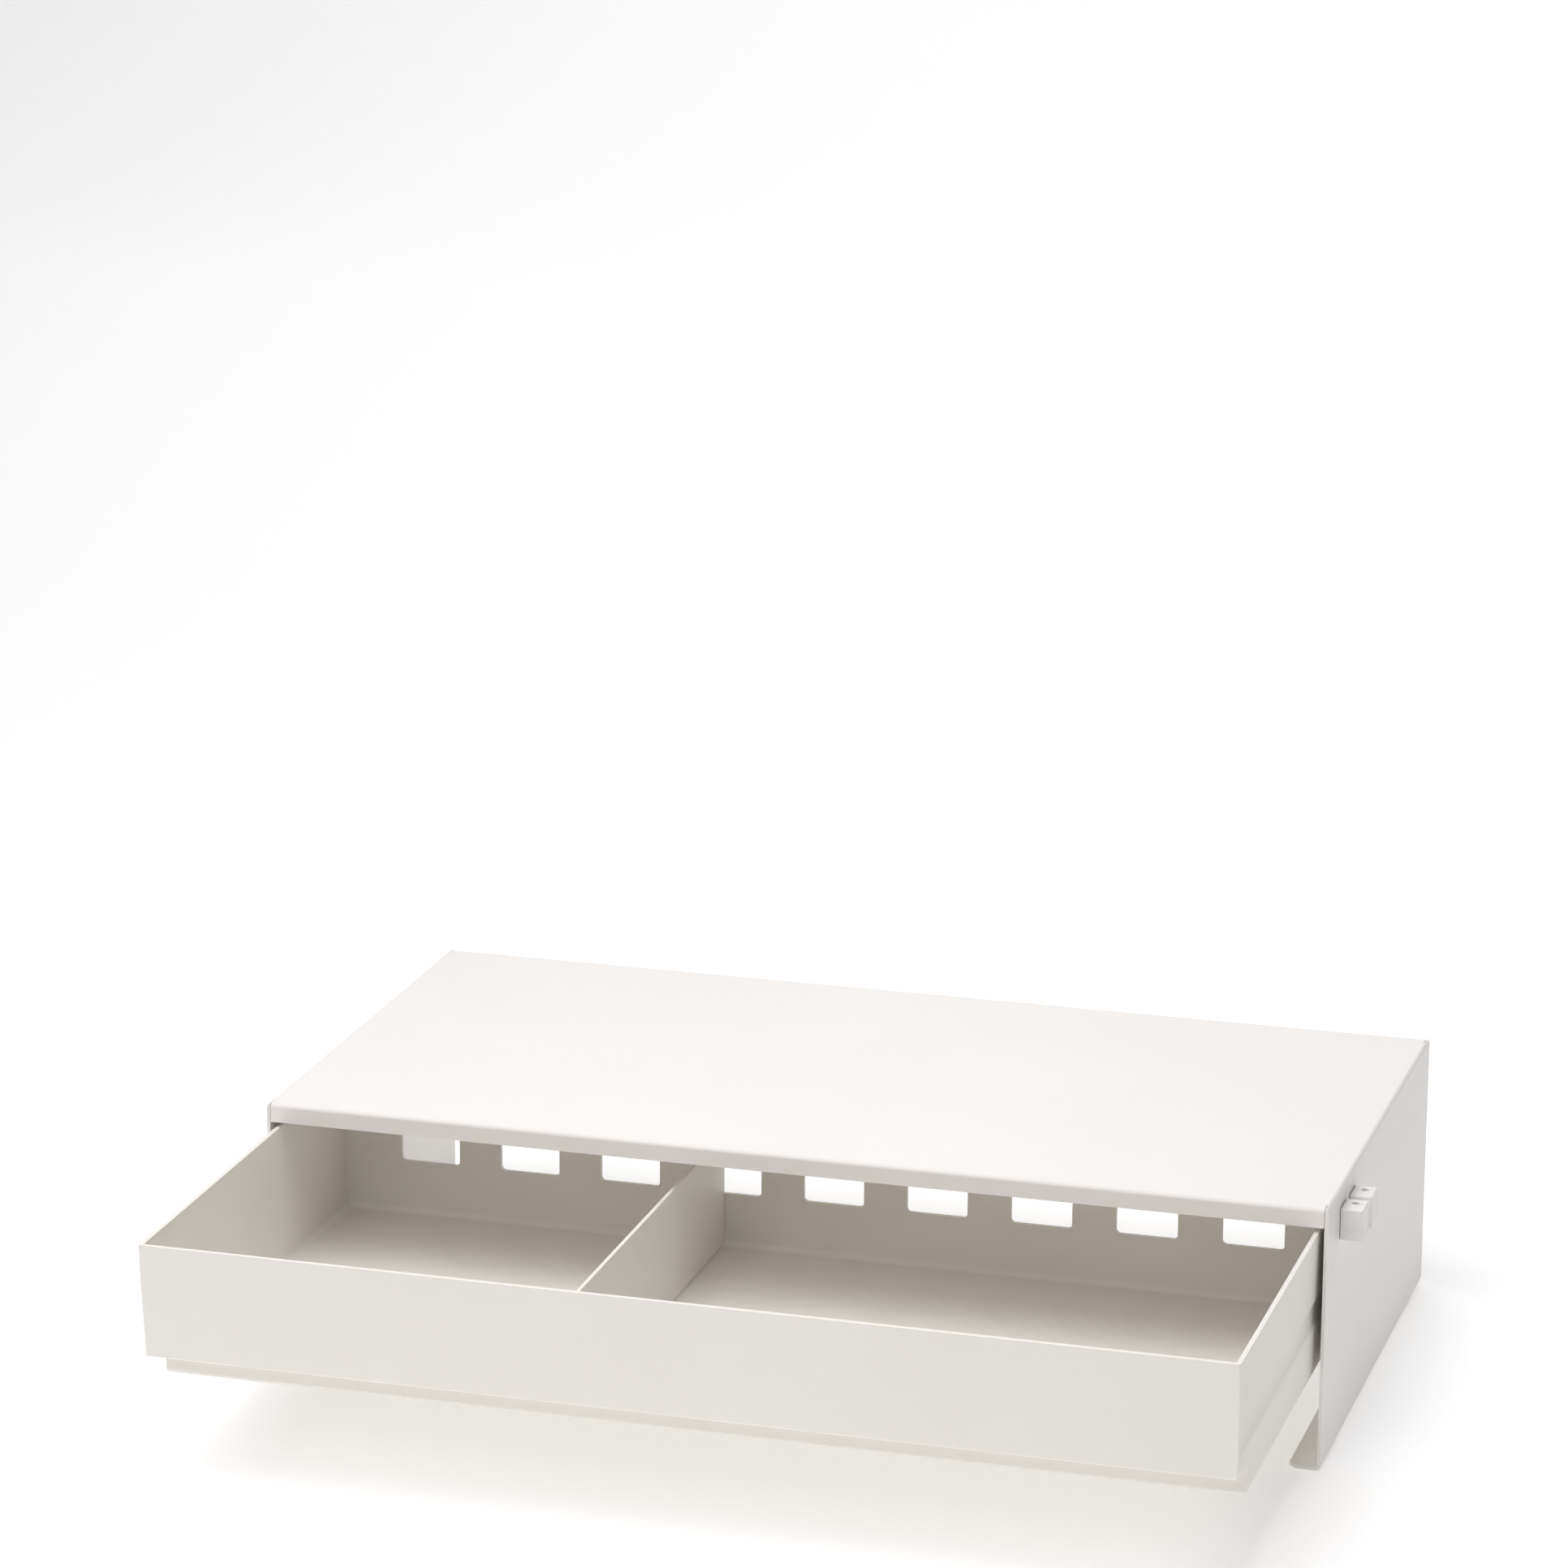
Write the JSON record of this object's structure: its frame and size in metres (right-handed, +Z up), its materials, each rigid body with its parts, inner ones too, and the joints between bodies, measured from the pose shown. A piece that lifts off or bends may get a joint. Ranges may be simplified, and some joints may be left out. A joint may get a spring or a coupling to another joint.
{
  "type": "monitor riser stand",
  "caption": "Low folded-steel monitor riser with a pull-out moulded drawer, an upright drawer divider, rear cable cut-outs and small cable clips on one side.",
  "frame": {"origin": "under the middle of the whole object with the drawer pulled out, on the surface it stands on", "axes": "+X to the right seen from the front, +Y from the drawer's front to the rear, +Z up"},
  "size_m": [0.49, 0.405, 0.12],
  "materials": {
    "powder_coated_steel": "fine satin powder coat, warm white",
    "drawer_plastic": "satin moulded plastic, warm white",
    "divider_plastic": "satin moulded plastic, warm white",
    "rail_plastic": "smooth light grey plastic",
    "screw_steel": "zinc-plated",
    "stop_rubber": "matt grey",
    "foot_rubber": "matt light grey foam rubber",
    "clip_silicone": "soft translucent white",
    "adhesive_tape": "matt white adhesive pad"
  },
  "bodies": {
    "riser": {"riser_shell": "powder_coated_steel", "rail_left": "rail_plastic", "drawer_stop_left": "stop_rubber", "rail_screw_left_front": "screw_steel", "rail_screw_left_middle": "screw_steel", "rail_screw_left_rear": "screw_steel", "foot_pad_front_left": "foot_rubber", "foot_pad_rear_left": "foot_rubber", "rail_right": "rail_plastic", "drawer_stop_right": "stop_rubber", "rail_screw_right_front": "screw_steel", "rail_screw_right_middle": "screw_steel", "rail_screw_right_rear": "screw_steel", "foot_pad_front_right": "foot_rubber", "foot_pad_rear_right": "foot_rubber", "cable_clip_front": "clip_silicone", "cable_clip_rear": "clip_silicone", "clip_tape_front": "adhesive_tape", "clip_tape_rear": "adhesive_tape"},
    "drawer": {"drawer_tray": "drawer_plastic"},
    "divider": {"drawer_divider": "divider_plastic"}
  },
  "joints": [
    {"name": "drawer_slide", "type": "slide", "parent": "riser", "child": "drawer", "axis": [0, -1, 0], "range_m": [-0.16, 0.015]},
    {"name": "divider_slide", "type": "slide", "parent": "drawer", "child": "divider", "axis": [1, 0, 0], "range_m": [-0.178, 0.282]}
  ]
}
